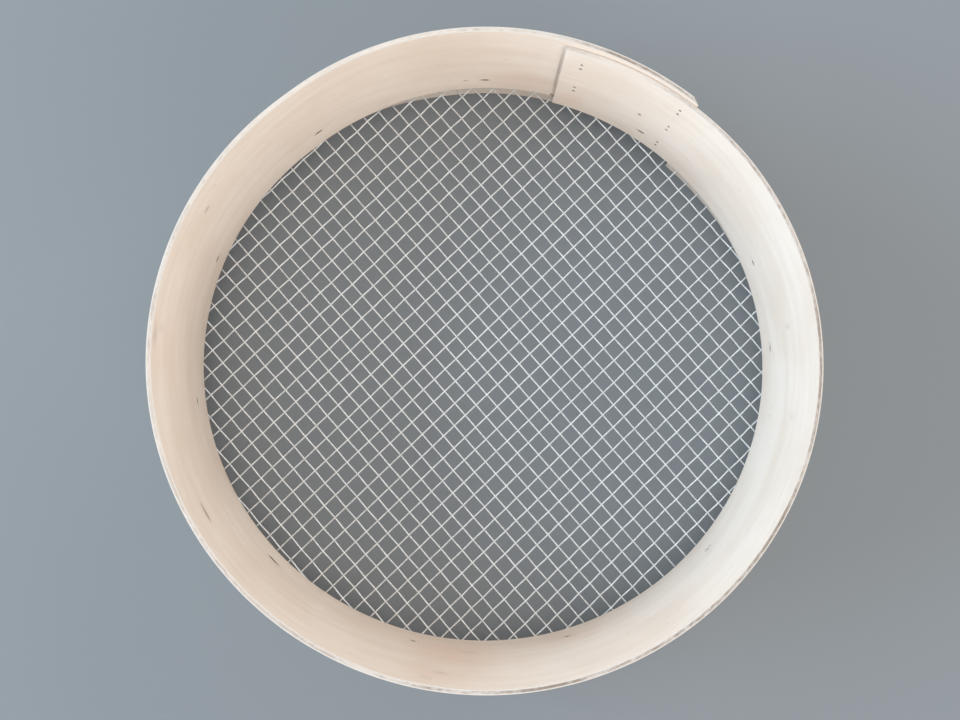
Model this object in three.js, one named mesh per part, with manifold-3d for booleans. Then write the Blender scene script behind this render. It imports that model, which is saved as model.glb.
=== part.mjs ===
// Wooden riddle sieve: a hoop bent from one strip of thin plywood, a coarse woven wire bottom, a narrow
// outer band that clamps the wire to the hoop's foot, and wire staples that hold both laps and the band.
// Millimetres, +Z up. The sieve stands on the band's lower edge, with the wire a little above the table.
// Angles are in degrees round +Z from +X. Both strips start at their inner lap end and run clockwise.
import * as THREE from "three";
import { mergeVertices } from "three/addons/utils/BufferGeometryUtils.js";
import Module from "manifold-3d";

const wasm = await Module();
wasm.setup();

// Main hoop
const HOOP_DIAMETER = 400; // mean, over the outside of the single thickness
const HOOP_HEIGHT = 84; // from the wire to the rim
const HOOP_THICKNESS = 3.2;
const HOOP_OVALITY = 2.1; // the radius is this much longer one way and shorter across it
const HOOP_OVAL_ANGLE = -6; // the way that it is longer
const HOOP_LAP_INNER_END = 75.3;
const HOOP_LAP_OUTER_END = 49.8;
const HOOP_LAP_RUN_UP = 52; // the arc in which the strip climbs on to its own inner end
const HOOP_SKIVE = 6.5; // length of the bevel on the outer end
const HOOP_SKIVE_NOSE = 0.5; // thickness left at the tip of that bevel
const INNER_END_DROP = 4.4; // the inner end's upper edge lies this far below the rim
const INNER_END_DROP_RUN = 38; // the arc in which that edge comes up to the rim
const OUTER_END_LIFT = 3; // where the strip laps over its inner end, its lower edge clears the wire by this
const OUTER_END_LIFT_RUN = 38; // the arc before the lap in which that edge lifts

// Clamping band
const BAND_HEIGHT = 38;
const BAND_THICKNESS = 3;
const BAND_BELOW_WIRE = 10; // the foot that keeps the wire off the table
const BAND_LAP_INNER_END = 47.5;
const BAND_LAP_OUTER_END = 18;
const BAND_SKIVE = 12;
const BAND_SKIVE_NOSE = 0.6;
// Beside the laps the foot leans in, from one angle to another, with the lean fading in and out.
const BAND_TOE = { start: 20, full: 47, until: 98, end: 116, lean: 2.6 };

// Wire cloth: two families of wires, the upper one laid over the lower one
const WIRE_DIAMETER = 1;
const UPPER_WIRES = { direction: 130.8, pitch: 10.62, shift: 2.7 };
const LOWER_WIRES = { direction: 43.6, pitch: 11.25, shift: 4.5 };
const BORDER_WIDTH = 0.8; // the border stands for the wire ends that turn up between hoop and band

// Staples
const STAPLE_CROWN = 6.5;
const STAPLE_WIRE = 1;
const STAPLE_TIP = 0.4; // how far the points stand out of the inner face
const STAPLE_POINT = 1.2; // length of the sharpened part of a leg
const HOOP_STAPLE_TO_INNER_END = 13;
const HOOP_STAPLE_TO_OUTER_END = 7.2;
const HOOP_INNER_END_STAPLES = [31.5, 64.5]; // heights of their middles above the hoop's lower edge
const HOOP_OUTER_END_STAPLES = [43.2, 70];
const BAND_STAPLE_BELOW_TOP = 9.5; // the band's row of staples lies this far below its upper edge
// The level staples of that row, driven by hand: each one's angle, and how far it sits above the row
const BAND_STAPLES = [
  { angle: 3, lift: -2 },
  { angle: 20.5, lift: 2.5 },
  { angle: 56, lift: -2 },
  { angle: 90, lift: -1 },
  { angle: 126, lift: 1 },
  { angle: 158.7, lift: -3 },
  { angle: 188, lift: -1 },
  { angle: 223.3, lift: 0.5 },
  { angle: 256, lift: 1 },
  { angle: 286.7, lift: -2 },
  { angle: 320, lift: 3.5 },
  { angle: 350, lift: 3 },
];
const BAND_END_STAPLE = { angle: 51.6, lift: -3 }; // the upright one beside the band's inner end

// Fits
const CLEARANCE = 0.3; // between pieces that touch on the real sieve
const STRIP_STEP = 3; // degrees between the stations of a bent strip
const WIRE_SIDES = 6;
const CUT_MARGIN = 3; // how far a cutting tool runs past what it cuts

const rad = THREE.MathUtils.degToRad;
const TURN = 360;
const hoopMeanRadius = HOOP_DIAMETER / 2;
const hoopLapRise = HOOP_THICKNESS + CLEARANCE;
const bandLapRise = BAND_THICKNESS + CLEARANCE;
const bandOffHoop = 2 * CLEARANCE + BORDER_WIDTH;
const upperWireZ = BAND_BELOW_WIRE + (WIRE_DIAMETER + CLEARANCE) / 2;
const lowerWireZ = BAND_BELOW_WIRE - (WIRE_DIAMETER + CLEARANCE) / 2;
const clothTop = upperWireZ + WIRE_DIAMETER / 2;
const clothBottom = lowerWireZ - WIRE_DIAMETER / 2;
const hoopBottom = clothTop + CLEARANCE;
const hoopTop = hoopBottom + HOOP_HEIGHT;

const arcOf = (length, radius) => THREE.MathUtils.radToDeg(length / radius);
const ease = (value, from, to) => THREE.MathUtils.smoothstep(value, from, to);
const share = (value, from, to) => THREE.MathUtils.clamp((value - from) / (to - from), 0, 1);
const easeOut = (value, from, to) => 1 - (1 - share(value, from, to)) ** 2;
const nearTurn = (angle, near) => angle + TURN * Math.round((near - angle) / TURN);

const WOOD = new THREE.MeshStandardMaterial({ color: 0xe3d3bf, roughness: 0.65, metalness: 0 });
const BAND_WOOD = new THREE.MeshStandardMaterial({ color: 0xd9c6ae, roughness: 0.7, metalness: 0 });
const WIRE_STEEL = new THREE.MeshStandardMaterial({ color: 0xd5d6d2, roughness: 0.35, metalness: 0.9 });
const STAPLE_STEEL = new THREE.MeshStandardMaterial({ color: 0x8d8a84, roughness: 0.4, metalness: 0.9 });

// Closed geometry to a solid for cutting and joining, and back.
function toSolid(geometry) {
  const bare = geometry.clone();
  bare.deleteAttribute("normal");
  bare.deleteAttribute("uv");
  const merged = mergeVertices(bare, 1e-4);
  return new wasm.Manifold(
    new wasm.Mesh({
      numProp: 3,
      vertProperties: new Float32Array(merged.attributes.position.array),
      triVerts: new Uint32Array(merged.index.array),
    }),
  );
}

function toGeometry(solid) {
  const mesh = solid.getMesh();
  const geometry = new THREE.BufferGeometry();
  geometry.setAttribute("position", new THREE.BufferAttribute(mesh.vertProperties, 3));
  geometry.setIndex(new THREE.BufferAttribute(mesh.triVerts, 1));
  geometry.computeVertexNormals();
  return geometry;
}

// The hoop's outer face in a single thickness: a circle drawn a little oval.
const hoopRadius = (angle) => hoopMeanRadius + HOOP_OVALITY * Math.cos(2 * rad(angle - HOOP_OVAL_ANGLE));

// How far the hoop strip has climbed after running the given arc from its inner end.
const hoopRise = (run) => hoopLapRise * easeOut(run, TURN - HOOP_LAP_RUN_UP, TURN);

// How far the outermost hoop surface stands off the single thickness at an angle, with the lap's step
// eased out between the hoop's outer end and the band's inner end.
function hoopStep(angle) {
  const run = HOOP_LAP_INNER_END - nearTurn(angle, HOOP_LAP_INNER_END - TURN / 2);
  const overLap = HOOP_LAP_INNER_END - nearTurn(angle, HOOP_LAP_INNER_END);
  const lapArc = HOOP_LAP_INNER_END - HOOP_LAP_OUTER_END;
  const stepArc = HOOP_LAP_OUTER_END - BAND_LAP_INNER_END;
  if (overLap < 0 || overLap > lapArc + stepArc) return hoopRise(run);
  return hoopLapRise * (1 - ease(overLap, lapArc, lapArc + stepArc));
}

// A bent strip as one closed body: section(run) gives the corners [radius, z] of the cut across the strip.
// Its stations are evenly spread, with one more at each run in breaks, where the strip's shape breaks.
function bentStrip(startAngle, arc, breaks, section) {
  const steps = Math.ceil(arc / STRIP_STEP);
  const runs = [...Array(steps + 1).keys()].map((i) => (arc * i) / steps);
  runs.push(...breaks);
  runs.sort((a, b) => a - b);
  const stations = runs.length;
  const points = [];
  for (const run of runs) {
    const angle = rad(startAngle - run);
    for (const [radius, z] of section(run)) {
      points.push(radius * Math.cos(angle), radius * Math.sin(angle), z);
    }
  }
  const corners = section(0).length;
  const faces = [];
  for (let i = 0; i < stations - 1; i++) {
    for (let k = 0; k < corners; k++) {
      const a = i * corners + k;
      const b = i * corners + ((k + 1) % corners);
      faces.push(a, b, a + corners, b, b + corners, a + corners);
    }
  }
  const last = (stations - 1) * corners;
  const outline = section(0).map(([radius, z]) => new THREE.Vector2(radius, z));
  for (const [a, b, c] of THREE.ShapeUtils.triangulateShape(outline, [])) {
    faces.push(a, c, b, last + a, last + b, last + c);
  }
  const geometry = new THREE.BufferGeometry();
  geometry.setAttribute("position", new THREE.Float32BufferAttribute(points, 3));
  geometry.setIndex(faces);
  return geometry;
}

// Thickness of a strip near its outer end, where it is bevelled down to a nose.
function skived(thickness, nose, run, arc, skiveArc) {
  return THREE.MathUtils.lerp(thickness, nose, share(run, arc - skiveArc, arc));
}

function hoopGeometry() {
  const arc = TURN + HOOP_LAP_INNER_END - HOOP_LAP_OUTER_END;
  const skiveArc = arcOf(HOOP_SKIVE, hoopMeanRadius);
  return bentStrip(HOOP_LAP_INNER_END, arc, [arc - skiveArc], (run) => {
    const inner = hoopRadius(HOOP_LAP_INNER_END - run) - HOOP_THICKNESS + hoopRise(run);
    const outer = inner + skived(HOOP_THICKNESS, HOOP_SKIVE_NOSE, run, arc, skiveArc);
    const top = hoopTop - INNER_END_DROP * (1 - share(run, 0, INNER_END_DROP_RUN));
    const bottom = hoopBottom + OUTER_END_LIFT * easeOut(run, TURN - OUTER_END_LIFT_RUN, TURN);
    return [
      [inner, bottom],
      [outer, bottom],
      [outer, top],
      [inner, top],
    ];
  });
}

// The band's inner face after the given run: it follows the hoop, then lies over its own inner end.
function bandInner(run) {
  const angle = BAND_LAP_INNER_END - run;
  const stepArc = HOOP_LAP_OUTER_END - BAND_LAP_INNER_END;
  const overOwnEnd = ease(run, TURN - stepArc, TURN);
  const onHoop = run > TURN - stepArc ? hoopLapRise : hoopStep(angle);
  return hoopRadius(angle) + bandOffHoop + THREE.MathUtils.lerp(onHoop, bandLapRise, overOwnEnd);
}

function bandToe(angle) {
  const near = nearTurn(angle, (BAND_TOE.start + BAND_TOE.end) / 2);
  const fadeIn = ease(near, BAND_TOE.start, BAND_TOE.full);
  const fadeOut = ease(near, BAND_TOE.until, BAND_TOE.end);
  return BAND_TOE.lean * fadeIn * (1 - fadeOut);
}

function bandGeometry() {
  const arc = TURN + BAND_LAP_INNER_END - BAND_LAP_OUTER_END;
  const skiveArc = arcOf(BAND_SKIVE, hoopMeanRadius);
  const bend = clothBottom - CLEARANCE;
  return bentStrip(BAND_LAP_INNER_END, arc, [arc - skiveArc], (run) => {
    const inner = bandInner(run);
    const outer = inner + skived(BAND_THICKNESS, BAND_SKIVE_NOSE, run, arc, skiveArc);
    const toe = bandToe(BAND_LAP_INNER_END - run);
    return [
      [inner - toe, 0],
      [outer - toe, 0],
      [outer, bend],
      [outer, BAND_HEIGHT],
      [inner, BAND_HEIGHT],
      [inner, bend],
    ];
  });
}

// A closed outline round the hoop, the given distance outside its outermost surface.
function ringOutline(offset) {
  const points = [];
  for (let angle = 0; angle < TURN; angle += STRIP_STEP) {
    const radius = hoopRadius(angle) + hoopStep(angle) + offset;
    points.push(new THREE.Vector2(radius * Math.cos(rad(angle)), radius * Math.sin(rad(angle))));
  }
  return points;
}

function slab(outline, hole, bottom, top) {
  const shape = new THREE.Shape(outline);
  if (hole) shape.holes.push(new THREE.Path(hole));
  const geometry = new THREE.ExtrudeGeometry(shape, { depth: top - bottom, bevelEnabled: false });
  return geometry.translate(0, 0, bottom);
}

// One family of straight wires, each a closed bar a little longer than the cloth is wide.
function wireFamily(family, z) {
  const reach = hoopMeanRadius - HOOP_THICKNESS - WIRE_DIAMETER;
  const length = HOOP_DIAMETER + 4 * CUT_MARGIN * hoopLapRise;
  const first = Math.ceil((-reach - family.shift) / family.pitch);
  const wires = [];
  for (let k = first; k * family.pitch + family.shift < reach; k++) {
    const bar = new THREE.CylinderGeometry(WIRE_DIAMETER / 2, WIRE_DIAMETER / 2, length, WIRE_SIDES);
    bar.rotateZ(-Math.PI / 2);
    bar.translate(0, k * family.pitch + family.shift, z);
    bar.rotateZ(rad(family.direction));
    wires.push(toSolid(bar));
  }
  return wires;
}

// The cloth: both families trimmed to a disc and joined by the border that runs round the hoop's foot.
function clothGeometry() {
  const borderInner = ringOutline(CLEARANCE);
  const borderOuter = ringOutline(CLEARANCE + BORDER_WIDTH);
  const trim = toSolid(slab(ringOutline(CLEARANCE + BORDER_WIDTH / 2), null, clothBottom - 1, clothTop + 1));
  const border = toSolid(slab(borderOuter, borderInner, clothBottom, clothTop));
  const wires = [...wireFamily(UPPER_WIRES, upperWireZ), ...wireFamily(LOWER_WIRES, lowerWireZ)];
  const pieces = wires.map((wire) => wire.intersect(trim));
  return toGeometry(wasm.Manifold.union([border, ...pieces]));
}

// A staple in its own frame: x along the crown, y outwards, with the legs running back along -y.
function stapleGeometry(legLength) {
  const half = STAPLE_CROWN / 2;
  const inside = half - STAPLE_WIRE;
  const middle = half - STAPLE_WIRE / 2;
  const shoulder = STAPLE_POINT - legLength;
  const outline = [
    [-half, STAPLE_WIRE],
    [-half, shoulder],
    [-middle, -legLength],
    [-inside, shoulder],
    [-inside, 0],
    [inside, 0],
    [inside, shoulder],
    [middle, -legLength],
    [half, shoulder],
    [half, STAPLE_WIRE],
  ].map(([x, y]) => new THREE.Vector2(x, y));
  const geometry = new THREE.ExtrudeGeometry(new THREE.Shape(outline), { depth: STAPLE_WIRE, bevelEnabled: false });
  return geometry.translate(0, 0, -STAPLE_WIRE / 2);
}

// Where a staple sits: x along the hoop for a level one, or up it for an upright one, and y outwards.
function staplePlace(staple) {
  const angle = rad(staple.angle);
  const outwards = new THREE.Vector3(Math.cos(angle), Math.sin(angle), 0);
  const along = new THREE.Vector3(-Math.sin(angle), Math.cos(angle), 0);
  const up = new THREE.Vector3(0, 0, 1);
  const place = staple.upright
    ? new THREE.Matrix4().makeBasis(up, outwards, along)
    : new THREE.Matrix4().makeBasis(along, outwards, up.negate());
  return place.setPosition(outwards.clone().multiplyScalar(staple.seat).setZ(staple.z));
}

// The hoop strip lies in one or two layers at an angle: its innermost face, and its outermost one.
const hoopInnermost = (angle) => {
  const run = HOOP_LAP_INNER_END - nearTurn(angle, HOOP_LAP_INNER_END - TURN / 2);
  const lapped = nearTurn(angle, HOOP_LAP_INNER_END) <= HOOP_LAP_INNER_END;
  return hoopRadius(angle) - HOOP_THICKNESS + (lapped ? 0 : hoopRise(run));
};

const hoopOutermost = (angle) => hoopRadius(angle) + hoopStep(angle);

function bandOutermost(angle) {
  const run = BAND_LAP_INNER_END - nearTurn(angle, BAND_LAP_INNER_END - TURN / 2);
  const overLap = BAND_LAP_INNER_END - nearTurn(angle, BAND_LAP_INNER_END);
  const lapped = overLap >= 0 && overLap <= BAND_LAP_INNER_END - BAND_LAP_OUTER_END;
  return bandInner(lapped ? TURN + overLap : run) + BAND_THICKNESS;
}

function stapleList() {
  const staples = [];
  const add = (name, angle, z, upright, outermost) =>
    staples.push({
      name,
      angle,
      z,
      upright,
      seat: outermost + CLEARANCE,
      leg: outermost + CLEARANCE - hoopInnermost(angle) + STAPLE_TIP,
    });
  const innerRow = HOOP_LAP_INNER_END - arcOf(HOOP_STAPLE_TO_INNER_END, hoopMeanRadius);
  const outerRow = HOOP_LAP_OUTER_END + arcOf(HOOP_STAPLE_TO_OUTER_END, hoopMeanRadius);
  for (const [i, height] of HOOP_INNER_END_STAPLES.entries()) {
    add(`hoop_staple_inner_end_${i + 1}`, innerRow, hoopBottom + height, true, hoopOutermost(innerRow));
  }
  for (const [i, height] of HOOP_OUTER_END_STAPLES.entries()) {
    add(`hoop_staple_outer_end_${i + 1}`, outerRow, hoopBottom + height, true, hoopOutermost(outerRow));
  }
  const bandRow = BAND_HEIGHT - BAND_STAPLE_BELOW_TOP;
  for (const [i, { angle, lift }] of BAND_STAPLES.entries()) {
    const name = `band_staple_${String(i + 1).padStart(2, "0")}`;
    add(name, angle, bandRow + lift, false, bandOutermost(angle));
  }
  const { angle, lift } = BAND_END_STAPLE;
  add("band_staple_lap_end", angle, bandRow + lift, true, bandOutermost(angle));
  return staples;
}

// The two holes of a staple, as tools to cut the strips with.
function stapleHoles(staple) {
  const width = STAPLE_WIRE + 2 * CLEARANCE;
  const depth = staple.leg + 2 * CUT_MARGIN;
  const place = staplePlace(staple);
  return [-1, 1].map((side) => {
    const tool = new THREE.BoxGeometry(width, depth, width);
    tool.translate((side * (STAPLE_CROWN - STAPLE_WIRE)) / 2, -staple.leg / 2, 0);
    return toSolid(tool.applyMatrix4(place));
  });
}

const staples = stapleList();
const holes = wasm.Manifold.union(staples.flatMap(stapleHoles));

function addMesh(group, name, geometry, material) {
  const mesh = new THREE.Mesh(geometry, material);
  mesh.name = name;
  group.add(mesh);
  return mesh;
}

const sieve = new THREE.Group();
addMesh(sieve, "main_hoop", toGeometry(toSolid(hoopGeometry()).subtract(holes)), WOOD);
addMesh(sieve, "clamp_band", toGeometry(toSolid(bandGeometry()).subtract(holes)), BAND_WOOD);
addMesh(sieve, "wire_cloth", clothGeometry(), WIRE_STEEL);
for (const staple of staples) {
  addMesh(sieve, staple.name, stapleGeometry(staple.leg), STAPLE_STEEL).applyMatrix4(staplePlace(staple));
}

// The frame: origin at the middle of the foot, on the table.
const box = new THREE.Box3().setFromObject(sieve);
const middle = box.getCenter(new THREE.Vector3());
sieve.position.set(-middle.x, -middle.y, -box.min.z);

const part = new THREE.Group();
part.add(sieve);

export default part;
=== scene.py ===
"""Wooden riddle sieve: a lapped plywood hoop, its clamping band, a woven wire bottom and wire staples."""
import math
import random

import bmesh
import bpy
from bpy.props import FloatProperty, FloatVectorProperty, PointerProperty
from mathutils import Color, Matrix, Vector


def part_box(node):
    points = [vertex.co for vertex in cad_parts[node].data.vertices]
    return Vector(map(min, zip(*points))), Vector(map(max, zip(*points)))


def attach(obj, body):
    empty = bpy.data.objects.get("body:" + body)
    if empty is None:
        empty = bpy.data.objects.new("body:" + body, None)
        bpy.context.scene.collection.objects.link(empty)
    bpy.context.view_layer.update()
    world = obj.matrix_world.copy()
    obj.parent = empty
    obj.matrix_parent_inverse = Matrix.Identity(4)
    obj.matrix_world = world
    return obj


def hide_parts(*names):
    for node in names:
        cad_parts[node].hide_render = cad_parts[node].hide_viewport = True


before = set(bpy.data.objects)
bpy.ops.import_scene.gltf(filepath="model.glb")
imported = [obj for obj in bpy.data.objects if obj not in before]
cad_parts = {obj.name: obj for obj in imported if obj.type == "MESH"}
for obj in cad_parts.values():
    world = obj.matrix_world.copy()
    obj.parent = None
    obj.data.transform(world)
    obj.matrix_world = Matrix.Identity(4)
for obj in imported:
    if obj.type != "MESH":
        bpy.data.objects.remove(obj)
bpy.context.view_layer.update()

bl_info = {
    "name": "Wooden riddle sieve",
    "version": (1, 0, 0),
    "blender": (4, 5, 0),
    "location": "View3D > Sidebar > Sieve",
    "description": "Models a bentwood sieve with a woven wire bottom round its packed frame",
    "category": "Object",
}

MM = 0.001
TURN = 360

# Read from the frame
HOOP_LOW, HOOP_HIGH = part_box("main_hoop")
BAND_LOW, BAND_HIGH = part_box("clamp_band")
CLOTH_LOW, CLOTH_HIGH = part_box("wire_cloth")
CLOTH_LEVEL = (CLOTH_LOW.z + CLOTH_HIGH.z) / 2
STAPLE_NODES = sorted(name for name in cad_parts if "staple" in name)

# The hoop's form: angles are in degrees round +Z from +X, and both strips run clockwise from their inner end
HOOP_AXIS = Vector((-0.563 * MM, -2.264 * MM, 0))
HOOP_OVALITY = 2.1 * MM
HOOP_OVAL_ANGLE = -6
HOOP_INNER_END = 75.3
HOOP_OUTER_END = 49.8
HOOP_ARC = TURN + HOOP_INNER_END - HOOP_OUTER_END
HOOP_RUN_UP = 52
HOOP_SKIVE = 6.5 * MM
INNER_END_DROP = 4.4 * MM
INNER_END_DROP_RUN = 38
OUTER_END_LIFT = 3 * MM
OUTER_END_LIFT_RUN = 38

# The band's form
BAND_INNER_END = 47.5
BAND_OUTER_END = 18
BAND_ARC = TURN + BAND_INNER_END - BAND_OUTER_END
BAND_SKIVE = 12 * MM
BAND_TOE = 2.6 * MM
BAND_TOE_FADES = (20, 47, 98, 116)
BAND_OFF_HOOP = 1.4 * MM
# Painted shade: the band's birch is the hoop's birch darkened, for the shade the band lies in below the
# hoop's edge
BAND_PAINTED_SHADE = 0.95
SKIVE_NOSE = 0.5 * MM
LAP_GAP = 0.3 * MM

# How the boards are cut, rounded and bent
BOARD_CUT_ROUNDS = 2
BOARD_CUTS = 15
STEPS_PER_DEGREE = 2
EDGE_STEPS = 2
EDGE_ANGLE = math.radians(40)
BOARD_SMOOTH_ANGLE = math.radians(25)
WIRE_SMOOTH_ANGLE = math.radians(50)

# The wire's weave and its turned up ends
UPPER_DIRECTION = 130.8
UPPER_SHIFT = 2.7 * MM
LOWER_DIRECTION = 43.6
LOWER_SHIFT = 4.5 * MM
WEAVE_GAP = 0.04 * MM
WIRE_BEND = 1.5 * MM
WIRE_BEND_STEPS = 4
WIRE_TAIL = (3.5 * MM, 7 * MM)
TAIL_SEED = 7
WIRE_REACH = 195.8 * MM
WIRE_SIDES = 8
WIRE_END_TRIES = 5
CRIMP_STEPS = 16
SPARE_CRIMPS = 4
MERGE_DISTANCE = 0.01 * MM

# Staples
STAPLE_CROWN = 6.5 * MM
STAPLE_BEND = 1 * MM
STAPLE_BEND_STEPS = 5
STAPLE_POINT = 1.2 * MM
STAPLE_TIP = 0.3
STAPLE_SIDES = 10
STAPLE_SINK = 0.5 * MM

# Splits in the veneer at the band's staples, in their order: length in millimetres, and strength
STAPLE_SPLITS = (
    (7, 0.7), (5, 0.75), (7, 0.9), (7, 0.9), (8, 0.9), (6, 0.8),
    (7, 0.65), (12, 1.0), (4, 0.9), (5, 0.8), (7, 0.6), (4, 0.35),
)

# The veneer's own marks, and a dot of painted shade in the corner at the inner end's foot: angle, then
# height above the hoop's lower edge, length and width in millimetres, then strength
VENEER_MARKS_AND_SHADE = (
    (208.6, 62, 19, 4, 0.75),
    (210.0, 62.3, 9, 3, 0.75),
    (152, 63.5, 8, 4, 0.45),
    (176, 80, 22, 9, 0.22),
    (174.6, 72, 8, 12, 0.12),
    (262, 63, 14, 6, 0.2),
    (259.5, 74, 12, 7, 0.15),
    (267, 24, 16, 4, 0.2),
    (6.5, 46, 6, 10, 0.18),
    (349.5, 55, 6, 12, 0.1),
    (320, 27, 12, 10, 0.1),
    (58, 37, 4, 4, 0.9),
    (93.7, 16, 6, 3, 0.45),
    # Painted shade: a dark dot in the corner at the inner end's foot, where the wire meets the lap
    (76, 5, 4, 4, 1.0),
)
# A painted shadow: a thin dark line down the corner where the hoop's inner end meets the outer layer
LAP_SHADOW_LINE = (75.6, 44, 1.8, 84, 0.5)

# Patches of pinkish heartwood, and painted warm shade beside the inner end's foot, measured in the same way
HEARTWOOD_AND_LAP_SHADE = (
    (263.5, 30, 80, 60, 0.5),
    (260.5, 68, 50, 30, 0.35),
    (178, 60, 70, 70, 0.25),
    # Painted shade: warm shade at the foot on each side of the hoop's inner end
    (84, 20, 60, 40, 0.3),
    (72, 14, 24, 30, 0.35),
    (288, 16, 60, 36, 0.4),
)

# Where the rim's middle ply is covered with pale birch, measured in the same way: on the inner end's top its
# paler plies, and round the left side painted light
RIM_PALE_AND_LIT = (
    (64, 80, 130, 80, 0.8),
    # Painted light: the rim is paler on the side that faces the key lamp
    (126, 84, 420, 80, 0.75),
    (190, 84, 320, 80, 0.6),
    (228, 84, 200, 80, 0.45),
)

# How far a mark reaches: a split along for its length and across, a stain round a point, and in depth
SPLIT_REACH = 0.75 * MM
SPLIT_HALF_WIDTH = 1.9 * MM
POINT_STAIN = 1.5 * MM
MARK_DEPTH = 1 * MM
RIM_DEPTH = 20 * MM

# Noise in the finishes: spots to the metre along, through and up the board, then detail and distortion
FIGURE = ((6, 40, 60), 3, 1.2)
FIBRES = ((45, 600, 1300), 4)
BLOTCHES = ((14, 20, 18), 2)
FLECKS = ((120, 300, 900), 2)
GROWTH = ((2.2, 8, 26), 1, 0.3)
RAG = ((500, 900, 900), 3)
END_GRAIN = ((300, 900, 900), 4)
STRETCHES = ((22, 30, 30), 2)
ZINC_PATCHES = ((400, 400, 400), 3)

# What each noise adds to its pattern, and how closely the growth rings follow each other
BLOTCH_SHARE = 0.6
FIGURE_SHARE = 0.4
END_GRAIN_SHARE = 0.5
STRETCH_SHARE = 0.7
PLY_RAG = 0.3
SPLIT_RAG = 0.4
SMUDGE_BASE = 0.5
RING_FREQUENCY = 55

# How a pattern becomes a tint or a finish: from low to high, into the range from bottom to top
TONE_RANGE = (0.38, 0.66, 0, 0.6)
RING_RANGE = (-0.2, 1.0, 0, 0.2)
FIBRE_RANGE = (0.5, 0.75, 0, 0.6)
FLECK_RANGE = (0.71, 0.79, 0, 0.4)
BREAK_RANGE = (0.45, 0.75, 0.05, 0.85)
SKIN_RANGE = (0.9, 1.0, 0, 1)
CORE_RANGE = (0.6, 0.74, 1, 0)
SPLIT_RANGE = (0.4, 0.9, 0, 0.9)
WOOD_ROUGHNESS_RANGE = (0.3, 0.7, 0.55, 0.75)
ZINC_RANGE = (0.35, 0.65, 0, 1)

# The wood's gloss and the relief of its fibres
WOOD_GLOSS = 0.3
FIBRE_RELIEF = 0.25
FIBRE_DEPTH = 0.2 * MM

# The zinc's roughness from low to high, its metallic share and the shade of its duller patches
WIRE_ROUGHNESS = (0.30, 0.50)
WIRE_METALLIC = 0.35
STAPLE_ROUGHNESS = (0.34, 0.54)
STAPLE_METALLIC = 0.9
ZINC_ROUGHNESS_LIMITS = (0.3, 0.7)
ZINC_SHADE = 0.9

# The camera, from the photograph's two ellipses of rim and foot
CAMERA_PLACE = Vector((-7.43 * MM, -23.05 * MM, 524.5 * MM))
CAMERA_TURN = (2.526, -0.457, 0)
FOCAL_PIXELS = 721
PICTURE_WIDTH = 960
SENSOR_WIDTH = 36
NEAR_CLIP = 0.01

# The floor
FLOOR_RADIUS = 2.6
FLOOR_SIDES = 128
FLOOR_ROUGHNESS = 0.9
FLOOR_GLOSS = 0.2

# The studio's soft lamps: name, place, power in watts and tint
LAMP_WIDTH = 3.5
LAMP_HEIGHT = 1.5
COOL_LIGHT = (0.58, 0.80, 1.0)
WARM_LIGHT = (1.0, 0.98, 0.96)
LAMPS = (
    ("key_lamp", (-4.0, 0.25, 1.6), 180, COOL_LIGHT),
    ("side_lamp", (2.5, 3.25, 1.6), 66, WARM_LIGHT),
    ("front_lamp", (1.5, -3.9, 1.6), 77, WARM_LIGHT),
)

# The sky's tint, and its strength from the horizon up
SKY_TINT = (1.0, 0.985, 0.97, 1)
SKY_RANGE = (0.05, 0.45, 0.32, 0.88)


class SieveSizes(bpy.types.PropertyGroup):
    """Sizes of the sieve's pieces."""
    hoop_diameter: FloatProperty(
        name="Hoop diameter", description="Mean width over the outside of one thickness",
        default=0.4, min=0.1, unit="LENGTH")
    hoop_height: FloatProperty(
        name="Hoop height", description="From the wire to the rim",
        default=HOOP_HIGH.z - HOOP_LOW.z, min=0.02, unit="LENGTH")
    hoop_thickness: FloatProperty(
        name="Hoop thickness", description="Thickness of the hoop's plywood",
        default=3.2 * MM, min=0.5 * MM, unit="LENGTH")
    band_height: FloatProperty(
        name="Band height", description="Height of the clamping band",
        default=BAND_HIGH.z - BAND_LOW.z, min=0.01, unit="LENGTH")
    band_thickness: FloatProperty(
        name="Band thickness", description="Thickness of the band's plywood",
        default=3 * MM, min=0.5 * MM, unit="LENGTH")
    wire_diameter: FloatProperty(
        name="Wire diameter", description="Thickness of the woven wire",
        default=1 * MM, min=0.2 * MM, unit="LENGTH")
    upper_pitch: FloatProperty(
        name="Upper pitch", description="Spacing of the first set of wires",
        default=10.62 * MM, min=2 * MM, unit="LENGTH")
    lower_pitch: FloatProperty(
        name="Lower pitch", description="Spacing of the set of wires across it",
        default=11.25 * MM, min=2 * MM, unit="LENGTH")
    staple_wire: FloatProperty(
        name="Staple wire", description="Thickness of the staples' wire",
        default=1 * MM, min=0.2 * MM, unit="LENGTH")
    edge_round: FloatProperty(
        name="Edge rounding", description="Width of the worn rounding on the plywood's edges",
        default=0.3 * MM, min=0.01 * MM, unit="LENGTH")


def colour(name, description, default):
    """A colour property, written as it shows on a screen."""
    return FloatVectorProperty(
        name=name, description=description, default=default, size=3, min=0, max=1, subtype="COLOR_GAMMA")


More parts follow.
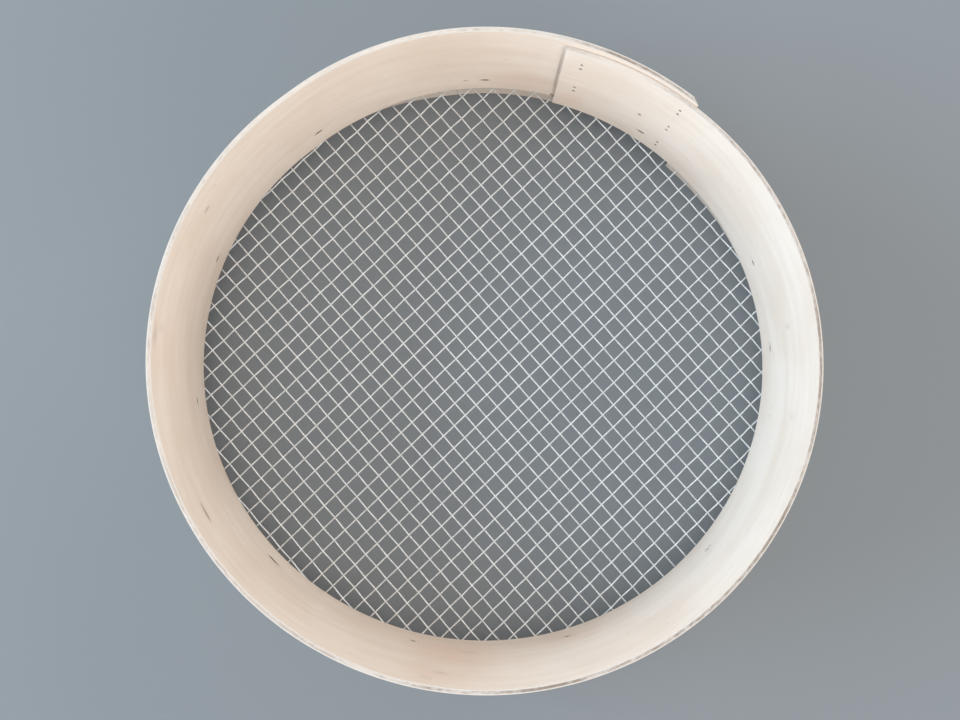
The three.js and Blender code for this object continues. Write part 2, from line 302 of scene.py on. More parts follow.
class SieveColours(bpy.types.PropertyGroup):
    """Colours of the sieve's finishes and of the stage."""
    birch_pale: colour("Pale birch", "Lighter part of the veneer", (0.94, 0.885, 0.832))
    birch_warm: colour("Warm birch", "Darker part of the veneer's figure", (0.89, 0.812, 0.742))
    ply_edge: colour("Plywood edge", "Outer plies where they show on an edge", (0.85, 0.815, 0.78))
    ply_core: colour("Plywood core", "Middle ply where it shows on an edge", (0.56, 0.50, 0.45))
    stain: colour("Stain", "Splits and stains round the staples' points", (0.27, 0.20, 0.15))
    smudge_and_shade: colour("Smudge", "Mineral streaks and smudges in the veneer", (0.44, 0.33, 0.25))
    rose_and_shade: colour("Rose", "Pinkish heartwood in the veneer", (0.91, 0.775, 0.69))
    wire: colour("Wire", "Bright galvanised wire", (0.96, 0.97, 0.975))
    staple: colour("Staple", "Dull galvanised staple wire", (0.60, 0.58, 0.55))
    floor: colour("Floor", "Plain pale floor", (0.53, 0.55, 0.565))


def share(value, start, end):
    """How far a value has come from start to end, from 0 to 1."""
    return min(1, max(0, (value - start) / (end - start)))


def ease(value, start, end):
    """As share, with a soft start and end."""
    part = share(value, start, end)
    return part * part * (3 - 2 * part)


def ease_out(value, start, end):
    """As share, with a soft end only."""
    return 1 - (1 - share(value, start, end)) ** 2


def near_turn(angle, near):
    """The angle, shifted by whole turns to lie near another."""
    return angle + TURN * round((near - angle) / TURN)


def polar(radius, angle, z=0.0):
    """A point round the hoop's axis."""
    turn = math.radians(angle)
    return HOOP_AXIS + Vector((radius * math.cos(turn), radius * math.sin(turn), z))


def hoop_radius(size, angle):
    """Radius of the hoop's outer face where it lies in one thickness."""
    return size.hoop_diameter / 2 + HOOP_OVALITY * math.cos(math.radians(2 * (angle - HOOP_OVAL_ANGLE)))


def hoop_rise(size, run):
    """How far the hoop's strip has climbed on to its own inner end."""
    return (size.hoop_thickness + LAP_GAP) * ease_out(run, TURN - HOOP_RUN_UP, TURN)


def hoop_middle(size, run):
    """Radius of the hoop strip's middle after the given run."""
    return hoop_radius(size, HOOP_INNER_END - run) - size.hoop_thickness / 2 + hoop_rise(size, run)


def hoop_step(size, angle):
    """How far the outermost hoop surface stands off the single thickness."""
    run = HOOP_INNER_END - near_turn(angle, HOOP_INNER_END - TURN / 2)
    over_lap = HOOP_INNER_END - near_turn(angle, HOOP_INNER_END)
    lap_arc = HOOP_INNER_END - HOOP_OUTER_END
    step_arc = HOOP_OUTER_END - BAND_INNER_END
    if over_lap < 0 or over_lap > lap_arc + step_arc:
        return hoop_rise(size, run)
    return (size.hoop_thickness + LAP_GAP) * (1 - ease(over_lap, lap_arc, lap_arc + step_arc))


def band_middle(size, run):
    """Radius of the band's middle after the given run: on the hoop, then over its own inner end."""
    angle = BAND_INNER_END - run
    step_arc = HOOP_OUTER_END - BAND_INNER_END
    over_own_end = ease(run, TURN - step_arc, TURN)
    on_hoop = hoop_step(size, angle)
    if run > TURN - step_arc:
        on_hoop = size.hoop_thickness + LAP_GAP
    off = on_hoop + (size.band_thickness + LAP_GAP - on_hoop) * over_own_end
    return hoop_radius(size, angle) + BAND_OFF_HOOP + off + size.band_thickness / 2


def band_toe(angle):
    """How far the band's foot leans in at an angle."""
    start, full, until, end = BAND_TOE_FADES
    near = near_turn(angle, (start + end) / 2)
    return BAND_TOE * ease(near, start, full) * (1 - ease(near, until, end))


def strip_path(start, arc, radius_of, z):
    """Points along the middle of a bent strip, evenly apart."""
    steps = round(STEPS_PER_DEGREE * arc)
    runs = [arc * i / steps for i in range(steps + 1)]
    return [polar(radius_of(run), start - run, z) for run in runs]


def path_length(points):
    """Length of a line of points."""
    return sum((b - a).length for a, b in zip(points, points[1:]))


def deselect():
    """Leaves nothing selected, in object mode."""
    if bpy.context.object and bpy.context.object.mode != "OBJECT":
        bpy.ops.object.mode_set(mode="OBJECT")
    bpy.ops.object.select_all(action="DESELECT")


def activate(piece):
    """Makes the piece the only selected and active object."""
    deselect()
    piece.select_set(True)
    bpy.context.view_layer.objects.active = piece


def pick(piece, kind, test):
    """Selects only the vertices, edges or faces of the piece that pass the test, in edit mode."""
    bpy.ops.mesh.select_mode(type=kind)
    bpy.ops.mesh.select_all(action="DESELECT")
    shape = bmesh.from_edit_mesh(piece.data)
    for part in {"VERT": shape.verts, "EDGE": shape.edges, "FACE": shape.faces}[kind]:
        part.select_set(test(part))
    shape.select_flush_mode()
    bmesh.update_edit_mesh(piece.data)


def selected_middle(piece):
    """Middle of the selected vertices, in edit mode."""
    shape = bmesh.from_edit_mesh(piece.data)
    points = [v.co for v in shape.verts if v.select]
    return sum(points, Vector()) / len(points)


def apply_modifier(piece, kind, **settings):
    """Adds a modifier to the piece and applies it."""
    modifier = piece.modifiers.new(kind.lower(), kind)
    for name, value in settings.items():
        setattr(modifier, name, value)
    bpy.ops.object.modifier_apply(modifier=modifier.name)


def flat_board(name, length, thickness, height):
    """A board along X with its middle on y 0 and its lower edge on z 0, cut into short lengths."""
    deselect()
    bpy.ops.mesh.primitive_cube_add(
        size=1, location=(length / 2, 0, height / 2), scale=(length, thickness, height))
    board = bpy.context.object
    board.name = name
    bpy.ops.object.transform_apply(location=True, rotation=True, scale=True)
    bpy.ops.object.mode_set(mode="EDIT")
    for _ in range(BOARD_CUT_ROUNDS):
        pick(board, "EDGE", lambda edge: abs(edge.verts[0].co.x - edge.verts[1].co.x) > MM)
        bpy.ops.mesh.subdivide(number_cuts=BOARD_CUTS)
    bpy.ops.object.mode_set(mode="OBJECT")
    return board


def skive_end(board, length, thickness, skive):
    """Bevels the outer face of the board's far end down to a nose."""
    bpy.ops.object.mode_set(mode="EDIT")
    bpy.ops.mesh.select_all(action="SELECT")
    bpy.ops.mesh.bisect(plane_co=(length - skive, 0, 0), plane_no=(1, 0, 0))
    pick(board, "VERT", lambda vertex: vertex.co.x > length - MM and vertex.co.y > 0)
    bpy.ops.transform.translate(value=(0, SKIVE_NOSE - thickness, 0))
    bpy.ops.object.mode_set(mode="OBJECT")


def round_edges(board, width):
    """Rounds the board's sharp edges, as worn."""
    apply_modifier(
        board, "BEVEL", width=width, segments=EDGE_STEPS, limit_method="ANGLE", angle_limit=EDGE_ANGLE)


def bend_board(board, points):
    """Keeps the flat board's own places for its grain, then bends it along a line of points."""
    flat = board.data.attributes.new("board", "FLOAT_VECTOR", "POINT")
    for vertex, place in zip(board.data.vertices, flat.data):
        place.vector = vertex.co
    line = bpy.data.curves.new("bending_line", "CURVE")
    line.dimensions = "3D"
    line.twist_mode = "Z_UP"
    spline = line.splines.new("POLY")
    spline.points.add(len(points) - 1)
    for point, place in zip(spline.points, points):
        point.co = (*place, 1)
    former = bpy.data.objects.new("bending_line", line)
    bpy.context.scene.collection.objects.link(former)
    activate(board)
    apply_modifier(board, "CURVE", object=former, deform_axis="POS_X")
    bpy.data.objects.remove(former)
    bpy.data.curves.remove(line)
    bpy.ops.object.shade_smooth_by_angle(angle=BOARD_SMOOTH_ANGLE)


def settle(piece, material, slot, *nodes):
    """Gives a finished piece its material and its body, and hides the frame's nodes that it stands for. The
    slot is not used.
    """
    piece.data.materials.clear()
    piece.data.materials.append(material)
    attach(piece, "root")
    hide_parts(*nodes)


def screen_colour(value):
    """A colour as it shows on a screen, for a shader's socket."""
    return (*Color(value).from_srgb_to_scene_linear(), 1)


def new_material(name):
    """An empty node material with its shader, and the tree to build in."""
    material = bpy.data.materials.new(name)
    material.use_nodes = True
    return material, material.node_tree, material.node_tree.nodes["Principled BSDF"]


def add_node(tree, kind, inputs=None, **settings):
    """A shader node with its settings, and its inputs linked or set."""
    node = tree.nodes.new(kind)
    for name, value in settings.items():
        setattr(node, name, value)
    for key, value in (inputs or {}).items():
        if isinstance(value, bpy.types.NodeSocket):
            tree.links.new(value, node.inputs[key])
        else:
            node.inputs[key].default_value = value
    return node


def calc(tree, operation, *values):
    """The result of a math node."""
    return add_node(tree, "ShaderNodeMath", dict(enumerate(values)), operation=operation).outputs[0]


def remap(tree, value, low, high, bottom, top):
    """A value, eased from low to high into the range from bottom to top."""
    inputs = {"Value": value, "From Min": low, "From Max": high, "To Min": bottom, "To Max": top}
    return add_node(tree, "ShaderNodeMapRange", inputs, interpolation_type="SMOOTHSTEP").outputs["Result"]


def mix(tree, factor, first, second):
    """A mix of two colours."""
    return add_node(tree, "ShaderNodeMix", {0: factor, 6: first, 7: second}, data_type="RGBA").outputs[2]


def weigh(tree, first, first_share, second, second_share):
    """The sum of two values, each times its share."""
    return calc(tree, "MULTIPLY_ADD", first, first_share, calc(tree, "MULTIPLY", second, second_share))


def stretched_noise(tree, place, scale, detail, distortion=0.0):
    """Noise whose spots are as many to the metre along each axis as scale says."""
    stretched = add_node(
        tree, "ShaderNodeVectorMath", {0: place, 1: scale}, operation="MULTIPLY").outputs["Vector"]
    inputs = {"Vector": stretched, "Scale": 1.0, "Detail": detail, "Distortion": distortion}
    return add_node(tree, "ShaderNodeTexNoise", inputs).outputs["Fac"]


def spots(tree, place, marks):
    """A mask of soft oval spots, each with its middle on the flat board, its half sizes and strength."""
    mask = None
    for middle, reach, strength in marks:
        local = add_node(
            tree, "ShaderNodeMapping", {"Vector": place, "Location": middle, "Scale": reach},
            vector_type="TEXTURE").outputs["Vector"]
        spot = add_node(
            tree, "ShaderNodeTexGradient", {"Vector": local}, gradient_type="SPHERICAL").outputs["Fac"]
        spot = calc(tree, "MULTIPLY", spot, strength)
        mask = spot if mask is None else calc(tree, "MAXIMUM", mask, spot)
    return mask


def veneer(tree, place, fibres, pale, warm, dark):
    """The veneer's tint: its figure, growth rings, fibres and flecks."""
    blotches = stretched_noise(tree, place, *BLOTCHES)
    figure = stretched_noise(tree, place, *FIGURE)
    tone = weigh(tree, blotches, BLOTCH_SHARE, figure, FIGURE_SHARE)
    tint = mix(tree, remap(tree, tone, *TONE_RANGE), pale, warm)
    growth = stretched_noise(tree, place, *GROWTH)
    rings = calc(tree, "SINE", calc(tree, "MULTIPLY", growth, RING_FREQUENCY))
    tint = mix(tree, remap(tree, rings, *RING_RANGE), tint, warm)
    tint = mix(tree, remap(tree, fibres, *FIBRE_RANGE), tint, warm)
    flecks = stretched_noise(tree, place, *FLECKS)
    return mix(tree, remap(tree, flecks, *FLECK_RANGE), tint, dark)


def middle_ply(tree, place, dark, edge):
    """The middle ply's tint where it shows on an edge, dark with paler breaks."""
    end_grain = stretched_noise(tree, place, *END_GRAIN)
    stretches = stretched_noise(tree, place, *STRETCHES)
    breaks = weigh(tree, end_grain, END_GRAIN_SHARE, stretches, STRETCH_SHARE)
    return mix(tree, remap(tree, breaks, *BREAK_RANGE), dark, edge)


def plywood(name, colours, thickness, shade=1.0, splits=(), smudges_and_shade=(), heartwood_and_shade=(), rim_pale_and_lit=()):
    """Bare birch plywood: a figured veneer on the faces, the plies on the edges, and its marks, with painted
    shade and light where given.
    """
    material, tree, shader = new_material(name)
    place = add_node(tree, "ShaderNodeAttribute", attribute_name="board").outputs["Vector"]
    through = add_node(tree, "ShaderNodeSeparateXYZ", {0: place}).outputs["Y"]
    # shade darkens both birch tints; for the band this is painted shade
    pale, warm = (
        screen_colour([shade * channel for channel in tint])
        for tint in (colours.birch_pale, colours.birch_warm))
    dark, edge = screen_colour(colours.ply_core), screen_colour(colours.ply_edge)
    fibres = stretched_noise(tree, place, *FIBRES)
    rag = stretched_noise(tree, place, *RAG)

    face = veneer(tree, place, fibres, pale, warm, dark)
    # Pinkish patches, and painted warm shade where given
    if heartwood_and_shade:
        face = mix(tree, spots(tree, place, heartwood_and_shade), face, screen_colour(colours.rose_and_shade))
    core = middle_ply(tree, place, dark, edge)
    # Painted light: the rim's dark middle ply turns pale birch at the given spots, mostly on the side that
    # faces the key lamp
    if rim_pale_and_lit:
        core = mix(tree, spots(tree, place, rim_pale_and_lit), core, pale)

    depth = calc(tree, "DIVIDE", calc(tree, "ABSOLUTE", through), thickness / 2)
    ragged = calc(tree, "MULTIPLY_ADD", rag, PLY_RAG, depth)
    wood = mix(tree, remap(tree, depth, *SKIN_RANGE), edge, face)
    wood = mix(tree, remap(tree, ragged, *CORE_RANGE), wood, core)
    if splits:
        torn = calc(tree, "MULTIPLY_ADD", rag, SPLIT_RAG, spots(tree, place, splits))
        wood = mix(tree, remap(tree, torn, *SPLIT_RANGE), wood, screen_colour(colours.stain))
    # Smudges in the veneer, and painted shade: the dark line and the dark dot in the corners at the lap
    if smudges_and_shade:
        streaks = calc(tree, "ADD", fibres, SMUDGE_BASE)
        soft = calc(tree, "MULTIPLY", spots(tree, place, smudges_and_shade), streaks)
        wood = mix(tree, soft, wood, screen_colour(colours.smudge_and_shade))

    tree.links.new(wood, shader.inputs["Base Color"])
    tree.links.new(remap(tree, fibres, *WOOD_ROUGHNESS_RANGE), shader.inputs["Roughness"])
    shader.inputs["Specular IOR Level"].default_value = WOOD_GLOSS
    relief = {"Height": fibres, "Strength": FIBRE_RELIEF, "Distance": FIBRE_DEPTH}
    bump = add_node(tree, "ShaderNodeBump", relief)
    tree.links.new(bump.outputs["Normal"], shader.inputs["Normal"])
    return material


def galvanised(name, tint, roughness, metallic):
    """Zinc coated steel wire, a little patchy."""
    material, tree, shader = new_material(name)
    place = add_node(tree, "ShaderNodeTexCoord").outputs["Object"]
    patches = stretched_noise(tree, place, *ZINC_PATCHES)
    dull = screen_colour([ZINC_SHADE * channel for channel in tint])
    zinc = mix(tree, remap(tree, patches, *ZINC_RANGE), dull, screen_colour(tint))
    rough = remap(tree, patches, *ZINC_ROUGHNESS_LIMITS, *roughness)
    tree.links.new(zinc, shader.inputs["Base Color"])
    tree.links.new(rough, shader.inputs["Roughness"])
    shader.inputs["Metallic"].default_value = metallic
    return material


class Staple:
    """Where one of the frame's staples sits, read from its node."""

    def __init__(self, node):
        points = [vertex.co - HOOP_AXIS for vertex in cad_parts[node].data.vertices]
        middle = sum(points, Vector()) / len(points)
        self.node = node
        self.angle = math.degrees(math.atan2(middle.y, middle.x))
        self.outwards = Vector((middle.x, middle.y, 0)).normalized()
        self.sideways = Vector((-self.outwards.y, self.outwards.x, 0))
        self.z = (min(p.z for p in points) + max(p.z for p in points)) / 2
        widths = [p.dot(self.sideways) for p in points]
        self.upright = max(widths) - min(widths) < STAPLE_CROWN / 2
        depths = [p.dot(self.outwards) for p in points]
        self.crown = max(depths)
        self.tip = min(depths)


def hoop_board_place(size, path, angle, height):
    """A place on the inner face of the flat hoop board, for an angle and a height above its lower edge."""
    run = (HOOP_INNER_END - angle) % TURN
    steps = round(run / HOOP_ARC * (len(path) - 1))
    return Vector((path_length(path[:steps + 1]), -size.hoop_thickness / 2, height))


class SIEVE_OT_bend_hoop(bpy.types.Operator):
    """Cut the hoop's board, trim its two ends and bend it round on itself"""
    bl_idname = "sieve.bend_hoop"
    bl_label = "Bend the hoop"

    def execute(self, context):
        size, colours = context.scene.sieve_sizes, context.scene.sieve_colours
        path = strip_path(HOOP_INNER_END, HOOP_ARC, lambda run: hoop_middle(size, run), HOOP_LOW.z)
        length = path_length(path)
        board = flat_board("plywood_hoop", length, size.hoop_thickness, size.hoop_height)
        skive_end(board, length, size.hoop_thickness, HOOP_SKIVE)
        self.trim_ends(board, length, size.hoop_height)
        round_edges(board, size.edge_round)
        bend_board(board, path)
        # The marks carry painted shade and light: a shadow line and a shade dot at the lap, warm shade at
        # its foot, and a paler rim on the side that faces the key lamp
        wood = plywood(
            "birch plywood hoop", colours, size.hoop_thickness,
            splits=self.splits(size, path),
            smudges_and_shade=self.patches(size, path, (*VENEER_MARKS_AND_SHADE, LAP_SHADOW_LINE), MARK_DEPTH),
            heartwood_and_shade=self.patches(size, path, HEARTWOOD_AND_LAP_SHADE, MARK_DEPTH),
            rim_pale_and_lit=self.patches(size, path, RIM_PALE_AND_LIT, RIM_DEPTH))
        settle(board, wood, "hoop_plywood", "main_hoop")
        return {"FINISHED"}

    def trim_ends(self, board, length, height):
        """Lifts the lower edge towards the outer end and drops the upper edge towards the inner end."""
        for vertex in board.data.vertices:
            run = HOOP_ARC * vertex.co.x / length
            bottom = OUTER_END_LIFT * ease_out(run, TURN - OUTER_END_LIFT_RUN, TURN)
            top = height - INNER_END_DROP * (1 - share(run, 0, INNER_END_DROP_RUN))
            vertex.co.z = bottom + (top - bottom) * vertex.co.z / height

    def splits(self, size, path):
        """Splits in the veneer round the staples' points."""
        splits = []
        half = (STAPLE_CROWN - size.staple_wire) / 2
        stain = (POINT_STAIN, MARK_DEPTH, POINT_STAIN)
        rows = iter(STAPLE_SPLITS)
        for staple in map(Staple, STAPLE_NODES):
            height = staple.z - HOOP_LOW.z
            if staple.upright:
                for side in (-half, half):
                    place = hoop_board_place(size, path, staple.angle, height + side)
                    splits.append((place, stain, 1.0))
            else:
                length, strength = next(rows)
                place = hoop_board_place(size, path, staple.angle, height)
                splits.append((place, (SPLIT_REACH * length, MARK_DEPTH, SPLIT_HALF_WIDTH), strength))
        return splits

    def patches(self, size, path, rows, depth):
        """Rows of marks or patches, placed on the flat board."""
        patches = []
        for angle, height, length, width, strength in rows:
            place = hoop_board_place(size, path, angle, height * MM)
            patches.append((place, (length / 2 * MM, depth, width / 2 * MM), strength))
        return patches


class SIEVE_OT_bend_band(bpy.types.Operator):
    """Cut the clamping band's board, lean its foot in beside the laps and bend it round the hoop's foot"""
    bl_idname = "sieve.bend_band"
    bl_label = "Bend the band"

    def execute(self, context):
        size, colours = context.scene.sieve_sizes, context.scene.sieve_colours
        path = strip_path(BAND_INNER_END, BAND_ARC, lambda run: band_middle(size, run), BAND_LOW.z)
        length = path_length(path)
        board = flat_board("plywood_band", length, size.band_thickness, size.band_height)
        skive_end(board, length, size.band_thickness, BAND_SKIVE)
        bend_height = CLOTH_LOW.z - LAP_GAP
        bpy.ops.object.mode_set(mode="EDIT")
        bpy.ops.mesh.select_all(action="SELECT")
        bpy.ops.mesh.bisect(plane_co=(0, 0, bend_height), plane_no=(0, 0, 1))
        bpy.ops.object.mode_set(mode="OBJECT")
        round_edges(board, size.edge_round)
        bend_board(board, path)
        self.lean(board, length, bend_height)
        # The band's birch is darkened as painted shade
        wood = plywood("birch plywood band", colours, size.band_thickness, BAND_PAINTED_SHADE)
        settle(board, wood, "band_plywood", "clamp_band")
        return {"FINISHED"}

    def lean(self, board, length, bend_height):
        """Leans the bent band's foot in, below the wire."""
        places = board.data.attributes["board"].data
        for vertex, place in zip(board.data.vertices, places):
            angle = BAND_INNER_END - BAND_ARC * place.vector.x / length
            lean = band_toe(angle) * (1 - share(place.vector.z, 0, bend_height))
            outwards = (vertex.co - HOOP_AXIS) * Vector((1, 1, 0))
            vertex.co -= outwards.normalized() * lean


class SIEVE_OT_weave_cloth(bpy.types.Operator):
    """Crimp the wires, weave the two sets through each other and turn their ends up round the hoop"""
    bl_idname = "sieve.weave_cloth"
    bl_label = "Weave the wire cloth"

    def execute(self, context):
        size, colours = context.scene.sieve_sizes, context.scene.sieve_colours
        steel = galvanised("galvanised wire", colours.wire, WIRE_ROUGHNESS, WIRE_METALLIC)
        upper = {
            "direction": UPPER_DIRECTION, "pitch": size.upper_pitch, "shift": UPPER_SHIFT, "over": 0}
        lower = {
            "direction": LOWER_DIRECTION, "pitch": size.lower_pitch, "shift": LOWER_SHIFT, "over": 1}
        dice = random.Random(TAIL_SEED)
        for name, family, across in (("upper_wires", upper, lower), ("lower_wires", lower, upper)):
            cloth = self.weave(size, name, family, across, dice)
            settle(cloth, steel, "wire", "wire_cloth")
        return {"FINISHED"}

    def crimped_wire(self, size, step):
        """A long straight wire along X, crimped up and down over two steps, with a crest on x 0."""
        radius = size.wire_diameter / 2
        crimp = radius + WEAVE_GAP / 2
        repeats = 2 * math.ceil(size.hoop_diameter / (4 * step)) + SPARE_CRIMPS
        deselect()
        bpy.ops.mesh.primitive_circle_add(
            vertices=WIRE_SIDES, radius=radius, fill_type="NOTHING", rotation=(0, math.pi / 2, 0),
            location=(-repeats * step, 0, CLOTH_LEVEL + crimp))
        wire = bpy.context.object
        bpy.ops.object.transform_apply(location=True, rotation=True, scale=True)
        bpy.ops.object.mode_set(mode="EDIT")
        bpy.ops.mesh.select_all(action="SELECT")
        waves = [crimp * math.cos(math.tau * i / CRIMP_STEPS) for i in range(CRIMP_STEPS + 1)]
        for before, after in zip(waves, waves[1:]):
            move = (2 * step / CRIMP_STEPS, 0, after - before)
            bpy.ops.mesh.extrude_region_move(TRANSFORM_OT_translate={"value": move})
        bpy.ops.object.mode_set(mode="OBJECT")
        apply_modifier(
            wire, "ARRAY", count=repeats, use_relative_offset=False, use_constant_offset=True,
            constant_offset_displace=(2 * step, 0, 0), use_merge_vertices=True,
            merge_threshold=MERGE_DISTANCE)
        return wire

    def wire_end(self, size, direction, offset, side):
        """How far along itself a wire runs before it stands in the gap between hoop and band."""
        reach = size.hoop_diameter / 2
        for _ in range(WIRE_END_TRIES):
            along = side * math.sqrt(reach * reach - offset * offset)
            angle = direction + math.degrees(math.atan2(offset, along))
            reach = hoop_radius(size, angle) + hoop_step(size, angle) + BAND_OFF_HOOP / 2
        return along

    def turn_up(self, wire, end, side, tail):
        """Cuts the wire at one end and turns that end up."""
        bpy.ops.mesh.select_all(action="SELECT")
        bpy.ops.mesh.bisect(
            plane_co=(end - side * WIRE_BEND, 0, 0), plane_no=(side, 0, 0),
            use_fill=True, clear_outer=True)
        centre = selected_middle(wire) + Vector((0, 0, WIRE_BEND))
        bpy.ops.mesh.spin(
            steps=WIRE_BEND_STEPS, angle=side * math.pi / 2, center=centre, axis=(0, 1, 0))
        bpy.ops.mesh.extrude_region_move(TRANSFORM_OT_translate={"value": (0, 0, tail)})

    def weave(self, size, name, family, across, dice):
        """One set of wires, each crimped where it meets the wires across it."""
        between = math.radians(across["direction"] - family["direction"])
        lengthwise, sideways = math.sin(-between), math.cos(between)
        step = across["pitch"] / abs(lengthwise)
        pattern = self.crimped_wire(size, step)
        first = math.ceil((-WIRE_REACH - family["shift"]) / family["pitch"])
        last = math.floor((WIRE_REACH - family["shift"]) / family["pitch"])
        wires = []
        for number in range(first, last + 1):
            offset = number * family["pitch"] + family["shift"]
            crest = (across["shift"] - offset * sideways) / lengthwise
            crest += step * ((number + family["over"]) % 2)
            activate(pattern)
            bpy.ops.object.duplicate()
            wire = bpy.context.object
            wire.data.transform(Matrix.Translation((crest, 0, 0)))
            bpy.ops.object.mode_set(mode="EDIT")
            for side in (-1, 1):
                end = self.wire_end(size, family["direction"], offset, side)
                self.turn_up(wire, end, side, dice.uniform(*WIRE_TAIL))
            bpy.ops.object.mode_set(mode="OBJECT")
            wire.data.transform(Matrix.Translation((0, offset, 0)))
            wires.append(wire)
        bpy.data.objects.remove(pattern)
        return self.join(wires, name, family["direction"])

    def join(self, wires, name, direction):
        """Joins a set of wires and turns it to its direction on the hoop's axis."""
        deselect()
        for wire in wires:
            wire.select_set(True)
        bpy.context.view_layer.objects.active = wires[0]
        bpy.ops.object.join()
        cloth = bpy.context.object
        cloth.name = name
        turn = Matrix.Rotation(math.radians(direction), 4, "Z")
        cloth.data.transform(Matrix.Translation(HOOP_AXIS) @ turn)
        bpy.ops.object.mode_set(mode="EDIT")
        bpy.ops.mesh.select_all(action="SELECT")
        bpy.ops.mesh.normals_make_consistent(inside=False)
        bpy.ops.object.mode_set(mode="OBJECT")
        bpy.ops.object.shade_smooth_by_angle(angle=WIRE_SMOOTH_ANGLE)
        return cloth


class SIEVE_OT_drive_staples(bpy.types.Operator):
    """Bend one staple from wire and set a copy at each of the frame's staples"""
    bl_idname = "sieve.drive_staples"
    bl_label = "Drive the staples"

    def execute(self, context):
        size, colours = context.scene.sieve_sizes, context.scene.sieve_colours
        steel = galvanised("dull staple wire", colours.staple, STAPLE_ROUGHNESS, STAPLE_METALLIC)
        pattern = self.bent_staple(size)
        for staple in map(Staple, STAPLE_NODES):
            piece = self.set_copy(size, pattern, staple)
            settle(piece, steel, "staple", staple.node)
        bpy.data.objects.remove(pattern)
        return {"FINISHED"}

    def bent_staple(self, size):
        """A staple with its crown along X on y 0 and its legs back along -y, each as long as the crown."""
        radius = size.staple_wire / 2
        half = STAPLE_CROWN / 2 - radius
        shoulder = STAPLE_CROWN - STAPLE_BEND
        deselect()
        bpy.ops.mesh.primitive_circle_add(
            vertices=STAPLE_SIDES, radius=radius * STAPLE_TIP, fill_type="NGON",
            rotation=(math.pi / 2, 0, 0), location=(-half, -STAPLE_CROWN, 0))
        staple = bpy.context.object
        bpy.ops.object.transform_apply(location=True, rotation=True, scale=True)
        bpy.ops.object.mode_set(mode="EDIT")
        bpy.ops.mesh.select_all(action="SELECT")
        self.draw_on(staple, (0, STAPLE_POINT, 0), 1 / STAPLE_TIP)
        self.draw_on(staple, (0, shoulder - STAPLE_POINT, 0))
        self.bend(staple, (STAPLE_BEND, 0, 0))
        self.draw_on(staple, (2 * (half - STAPLE_BEND), 0, 0))
        self.bend(staple, (0, -STAPLE_BEND, 0))
        self.draw_on(staple, (0, STAPLE_POINT - shoulder, 0))
        self.draw_on(staple, (0, -STAPLE_POINT, 0), STAPLE_TIP)
        bpy.ops.mesh.select_all(action="SELECT")
        bpy.ops.mesh.normals_make_consistent(inside=False)
        bpy.ops.object.mode_set(mode="OBJECT")
        bpy.ops.object.shade_smooth_by_angle(angle=WIRE_SMOOTH_ANGLE)
        return staple

    def draw_on(self, staple, move, grow=1.0):
        """Draws the wire on from its selected end, thicker or thinner."""
        bpy.ops.mesh.extrude_region_move(TRANSFORM_OT_translate={"value": move})
        bpy.ops.transform.resize(value=(grow, grow, grow), center_override=selected_middle(staple))

    def bend(self, staple, to_centre):
        """Bends the wire a quarter turn to its right."""
        centre = selected_middle(staple) + Vector(to_centre)
        bpy.ops.mesh.spin(
            steps=STAPLE_BEND_STEPS, angle=math.pi / 2, center=centre, axis=(0, 0, 1))

    def set_copy(self, size, pattern, staple):
        """A copy of the staple with its legs drawn to length, set in its place."""
        activate(pattern)
        bpy.ops.object.duplicate()
        piece = bpy.context.object
        piece.name = "bent_" + staple.node
        crown = staple.crown - size.staple_wire / 2 - STAPLE_SINK
        longer = crown - staple.tip - STAPLE_CROWN
        bpy.ops.object.mode_set(mode="EDIT")
        pick(piece, "VERT", lambda vertex: vertex.co.y < -STAPLE_CROWN / 2)
        bpy.ops.transform.translate(value=(0, -longer, 0))
        bpy.ops.object.mode_set(mode="OBJECT")
        up = Vector((0, 0, 1))
        columns = (up, staple.outwards, staple.sideways) if staple.upright else (
            staple.sideways, staple.outwards, -up)
        turn = Matrix(columns).transposed().to_4x4()
        place = HOOP_AXIS + staple.outwards * crown + up * staple.z
        piece.data.transform(Matrix.Translation(place) @ turn)
        return piece


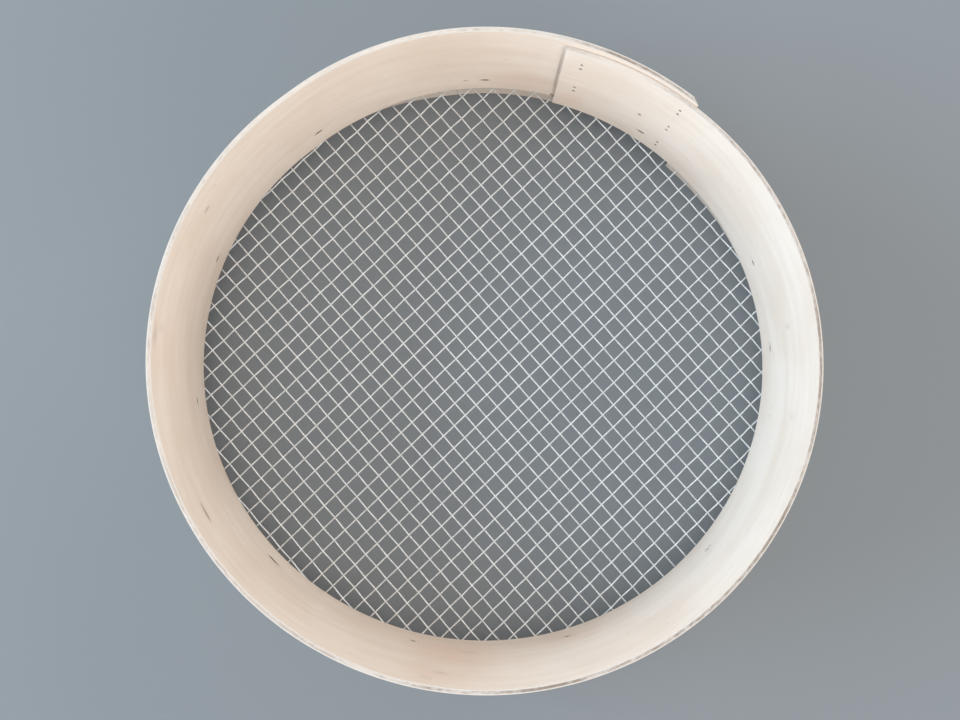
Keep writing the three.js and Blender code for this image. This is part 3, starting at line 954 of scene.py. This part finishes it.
class SIEVE_OT_set_stage(bpy.types.Operator):
    """Lay the floor, hang the lamps and set the camera where the photograph was taken"""
    bl_idname = "sieve.set_stage"
    bl_label = "Set the stage"

    def execute(self, context):
        scene = context.scene
        scene.view_settings.view_transform = "Standard"
        self.floor(scene.sieve_colours)
        for lamp in LAMPS:
            self.lamp(*lamp)
        self.sky(scene)
        self.camera(scene)
        return {"FINISHED"}

    def floor(self, colours):
        """A wide round floor under the band's foot."""
        deselect()
        bpy.ops.mesh.primitive_circle_add(
            vertices=FLOOR_SIDES, radius=FLOOR_RADIUS, fill_type="NGON")
        floor = bpy.context.object
        floor.name = "floor"
        material, _, shader = new_material("plain floor")
        shader.inputs["Base Color"].default_value = screen_colour(colours.floor)
        shader.inputs["Roughness"].default_value = FLOOR_ROUGHNESS
        shader.inputs["Specular IOR Level"].default_value = FLOOR_GLOSS
        floor.data.materials.append(material)

    def lamp(self, name, place, power, tint):
        """A soft lamp, wide and low, that faces the sieve."""
        deselect()
        bpy.ops.object.light_add(type="AREA", location=place)
        lamp = bpy.context.object
        lamp.name = name
        lamp.data.shape = "RECTANGLE"
        lamp.data.size = LAMP_WIDTH
        lamp.data.size_y = LAMP_HEIGHT
        lamp.data.energy = power
        lamp.data.color = tint
        lamp.rotation_euler = (-Vector(place)).to_track_quat("-Z", "Y").to_euler()

    def sky(self, scene):
        """A pale light from all round, dimmer near the horizon."""
        scene.world = bpy.data.worlds.new("pale room")
        scene.world.use_nodes = True
        tree = scene.world.node_tree
        direction = add_node(tree, "ShaderNodeTexCoord").outputs["Generated"]
        height = add_node(tree, "ShaderNodeSeparateXYZ", {0: direction}).outputs["Z"]
        sky = tree.nodes["Background"]
        sky.inputs["Color"].default_value = SKY_TINT
        tree.links.new(remap(tree, height, *SKY_RANGE), sky.inputs["Strength"])

    def camera(self, scene):
        """The camera, nearly straight above the wire."""
        deselect()
        bpy.ops.object.camera_add(
            location=CAMERA_PLACE, rotation=[math.radians(turn) for turn in CAMERA_TURN])
        camera = bpy.context.object
        camera.name = "camera"
        camera.data.sensor_width = SENSOR_WIDTH
        camera.data.lens = FOCAL_PIXELS / PICTURE_WIDTH * SENSOR_WIDTH
        camera.data.clip_start = NEAR_CLIP
        scene.camera = camera


class SIEVE_PT_workshop(bpy.types.Panel):
    """The sieve's sizes, colours and steps"""
    bl_idname = "SIEVE_PT_workshop"
    bl_label = "Wooden sieve"
    bl_space_type = "VIEW_3D"
    bl_region_type = "UI"
    bl_category = "Sieve"

    def draw(self, context):
        for group in (context.scene.sieve_sizes, context.scene.sieve_colours):
            box = self.layout.box()
            for name in group.bl_rna.properties.keys():
                if name not in ("rna_type", "name"):
                    box.prop(group, name)
        for step in STEPS:
            self.layout.operator(step.bl_idname)


STEPS = (
    SIEVE_OT_bend_hoop,
    SIEVE_OT_bend_band,
    SIEVE_OT_weave_cloth,
    SIEVE_OT_drive_staples,
    SIEVE_OT_set_stage,
)
CLASSES = (SieveSizes, SieveColours, *STEPS, SIEVE_PT_workshop)


def register():
    for kind in CLASSES:
        bpy.utils.register_class(kind)
    bpy.types.Scene.sieve_sizes = PointerProperty(type=SieveSizes)
    bpy.types.Scene.sieve_colours = PointerProperty(type=SieveColours)


def unregister():
    del bpy.types.Scene.sieve_colours
    del bpy.types.Scene.sieve_sizes
    for kind in reversed(CLASSES):
        bpy.utils.unregister_class(kind)


def main():
    """Builds the whole sieve."""
    register()
    bpy.ops.sieve.bend_hoop()
    bpy.ops.sieve.bend_band()
    bpy.ops.sieve.weave_cloth()
    bpy.ops.sieve.drive_staples()
    bpy.ops.sieve.set_stage()


if __name__ == "__main__":
    main()
